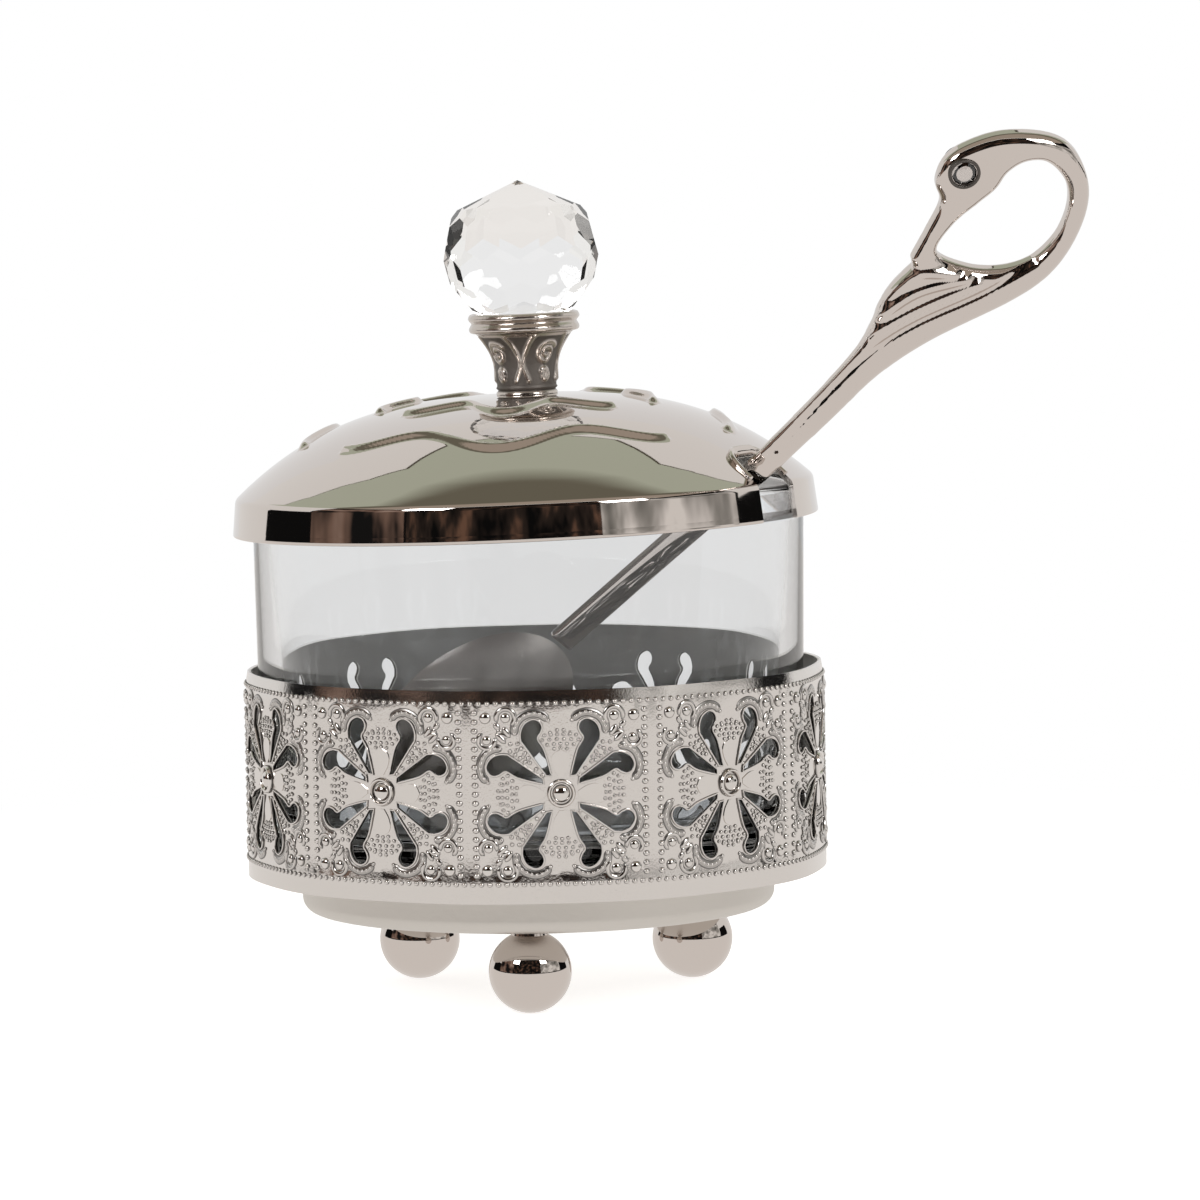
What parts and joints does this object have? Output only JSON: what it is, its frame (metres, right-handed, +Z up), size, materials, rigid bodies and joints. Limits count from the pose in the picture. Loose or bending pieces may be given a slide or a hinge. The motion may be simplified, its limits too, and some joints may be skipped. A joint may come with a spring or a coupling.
{
  "type": "honey pot with lift-off lid and spoon",
  "caption": "Round glass honey pot in a pierced metal stand on ball feet, with a notched lift-off dome lid, crystal ball knob and a spoon with a swan handle.",
  "frame": {"origin": "on the pot's axis, on the plane of the three ball feet", "axes": "+Z up along the pot's axis, -Y towards the front foot, +X to the right, towards the spoon's handle"},
  "size_m": [0.1376, 0.0958, 0.1401],
  "materials": {
    "nickel": "mirror polished nickel plate",
    "nickel_satin": "polished nickel plate on a spun sheet",
    "nickel_filigree": "nickel plate on stamped and pierced sheet",
    "nickel_antique": "nickel plate on a casting, dark in its hollows",
    "steel": "plain screws and washer",
    "glass": "clear polished glass",
    "crystal": "cut and polished crystal"
  },
  "bodies": {
    "stand": {"base_pan": "nickel_satin", "filigree_band": "nickel_filigree", "foot_ball_front": "nickel", "foot_ball_right": "nickel", "foot_ball_left": "nickel", "foot_screw_front": "steel", "foot_screw_right": "steel", "foot_screw_left": "steel"},
    "glass": {"glass_bowl": "glass"},
    "lid": {"lid_shell": "nickel", "knob_neck": "nickel_antique", "knob_cup": "nickel_antique", "knob_crystal": "crystal", "knob_washer": "steel", "knob_screw": "steel"},
    "spoon": {"spoon": "nickel", "eye_crystal_front": "crystal", "eye_crystal_back": "crystal"}
  },
  "joints": [
    {"name": "glass_lift", "type": "slide", "parent": "stand", "child": "glass", "axis": [0, 0, 1], "range_m": [0, 0.04]},
    {"name": "lid_lift", "type": "slide", "parent": "glass", "child": "lid", "axis": [0, 0, 1], "range_m": [0, 0.07]},
    {"name": "spoon_draw", "type": "slide", "parent": "glass", "child": "spoon", "axis": [0.7256, -0.2274, 0.6494], "range_m": [0, 0.03]}
  ]
}
